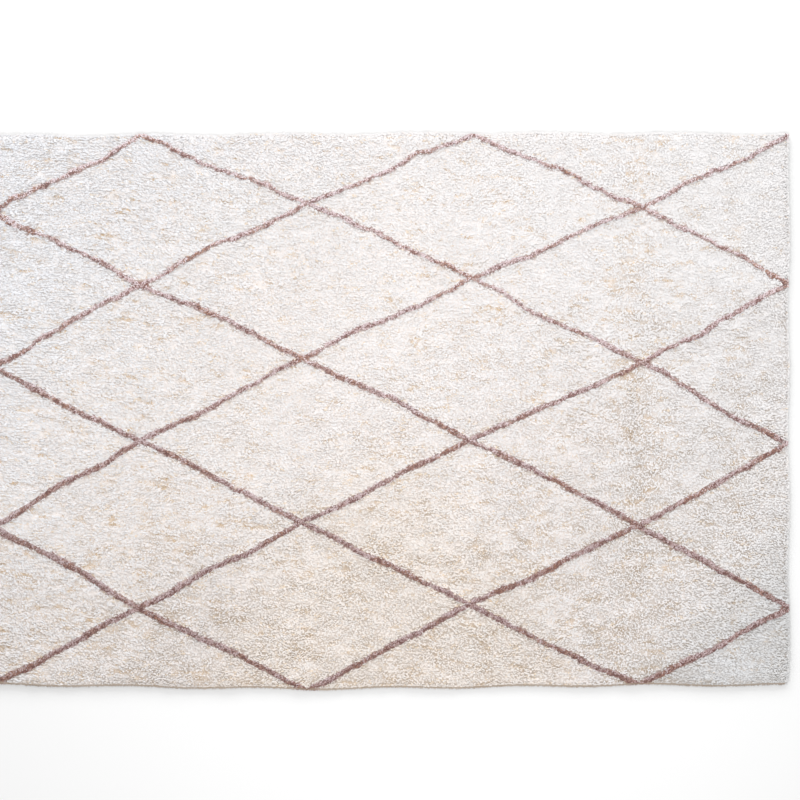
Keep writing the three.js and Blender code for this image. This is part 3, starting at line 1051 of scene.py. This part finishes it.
def rim_layer(layer, brown, chance):
    """One layer's tufts and whether each is part of the lattice."""
    near_inset, near_reach = layer["near"]
    x, y, out = rim_walk(layer["inset"] * MM, near_inset * MM)
    jitter = chance.uniform(-1.2, 1.2, (x.size, 2)) * MM
    x, y = x + jitter[:, 0], y + jitter[:, 1]
    along = np.stack([-out[:, 1], out[:, 0]], -1)
    reach = np.where(near_side(out), near_reach, layer["reach"]) * MM
    reach = reach * chance.uniform(0.85, 1.05, x.size)
    aside = drift(x, y, 13 * MM, 92) + chance.uniform(-0.8, 0.8, x.size)
    aside = along * (layer["along"] * MM * aside)[:, None]
    over = inset(x + aside[:, 0], y + aside[:, 1])[0] < 0
    level = out * reach[:, None] + np.where(over[:, None], 0, aside)
    root = np.stack([x, y, np.full(x.size, layer["root"] * MM)], -1)
    tip_z = layer["tip"] * MM + RIM_RAGGED * chance.standard_normal(x.size)
    tip = np.stack([x + level[:, 0], y + level[:, 1], np.maximum(tip_z, LOWEST_TIP)], -1)
    radius = RIM_RADIUS * chance.uniform(0.85, 1.2, x.size)
    points = grow(root, tip, radius, chance.uniform(-ROLL, ROLL, x.size))
    tone = chance.uniform(0, 1, x.size)
    # Brown shade is painted on the lower layers of the near side, some stretches more than others
    painted_shade = brown * (0.7 + 0.3 * drift(x, y, 110 * MM, 93))
    foot = near_side(out) * painted_shade * chance.uniform(0.7, 1.0, x.size)
    batch = {"points": points, "tone": tone, "opened": openness(x, y), "parted": np.zeros(x.size)}
    return {**batch, "foot": foot}, from_lattice(x, y)[0] <= 0


def rim_tufts():
    """The rim's tufts and whether each is part of the lattice."""
    chance = np.random.default_rng(91)
    layers = [rim_layer(layer, n < BROWN_LAYERS, chance) for n, layer in enumerate(RIM_LAYERS)]
    batches, in_lattice = zip(*layers)
    return joined(*batches), np.concatenate(in_lattice)


# %% All the tufts as pieces
MOST_TUFTS = 30_000  # in one piece


def make_pile():
    rim, rim_is_dark = rim_tufts()
    pale = joined(pale_tufts(), picked(rim, ~rim_is_dark))
    mauve = joined(mauve_tufts(), picked(rim, rim_is_dark))
    order = np.argsort(pale["points"][:, 0, 1], kind="stable")
    shares = np.array_split(order, int(np.ceil(len(order) / MOST_TUFTS)))
    pieces = [
        tufts_piece(f"pale_pile_{n + 1}", picked(pale, share), PALE) for n, share in enumerate(shares)
    ]
    pieces.append(tufts_piece("mauve_pile", mauve, MAUVE))
    return pieces


pile = make_pile()

# %% [markdown]
# ## Riding and replacing
# Every piece rides on the rug's one body. Together they stand for the plain solid, which is hidden.

# %% Tie the pieces to the frame
for piece in [ground_cloth, pile_bed, *pile]:
    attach(piece, "root")
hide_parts("rug")

# %% [markdown]
# ## Floor and light
# The photograph has a pure white ground and very soft light, stronger from the far side. A big soft
# lamp far beyond the far edge gives the pile its relief and the near edge its thin shadow, one above
# the rug lifts the near middle, and a pale sky fills the rest.

# %% The floor
FLOOR_SIZE = 14.0
FLOOR_DROP = 0.3 * MM  # keeps it clear of the rug's underside
FLOOR_WHITE = colour(0.86, 0.86, 0.86)


def make_floor():
    floor = bmesh.new()
    bmesh.ops.create_grid(floor, x_segments=1, y_segments=1, size=FLOOR_SIZE / 2)
    bmesh.ops.translate(floor, vec=(0, 0, -FLOOR_DROP), verts=floor.verts)
    material, shader, _ = new_finish("floor", 1.0, 0.0)
    shader.inputs["Base Color"].default_value = FLOOR_WHITE
    return finished_piece("floor", floor, material)


make_floor()

# %% The lamps and the sky
# Places and sizes are in metres and power is in watts
LAMPS = {
    "far_lamp": {"place": (-0.1, 5.2, 2.6), "size": (7.0, 2.4), "power": 246.0},
    "top_lamp": {"place": (0.26, -0.48, 2.1), "size": (1.2, 0.9), "power": 16.0},
}
SKY = 0.71


def make_lamps():
    for name, lamp in LAMPS.items():
        data = bpy.data.lights.new(name, "AREA")
        data.shape = "RECTANGLE"
        data.size, data.size_y = lamp["size"]
        data.energy = lamp["power"]
        light = bpy.data.objects.new(name, data)
        light.location = lamp["place"]
        light.rotation_euler = Vector(lamp["place"]).to_track_quat("Z", "Y").to_euler()
        bpy.context.scene.collection.objects.link(light)
        print(name, "gives", lamp["power"], "W")


make_lamps()
world = bpy.data.worlds.new("sky")
world.use_nodes = True
world.node_tree.nodes["Background"].inputs["Color"].default_value = colour(1, 1, 1)
world.node_tree.nodes["Background"].inputs["Strength"].default_value = SKY
bpy.context.scene.world = world
bpy.context.scene.view_settings.view_transform = "Standard"
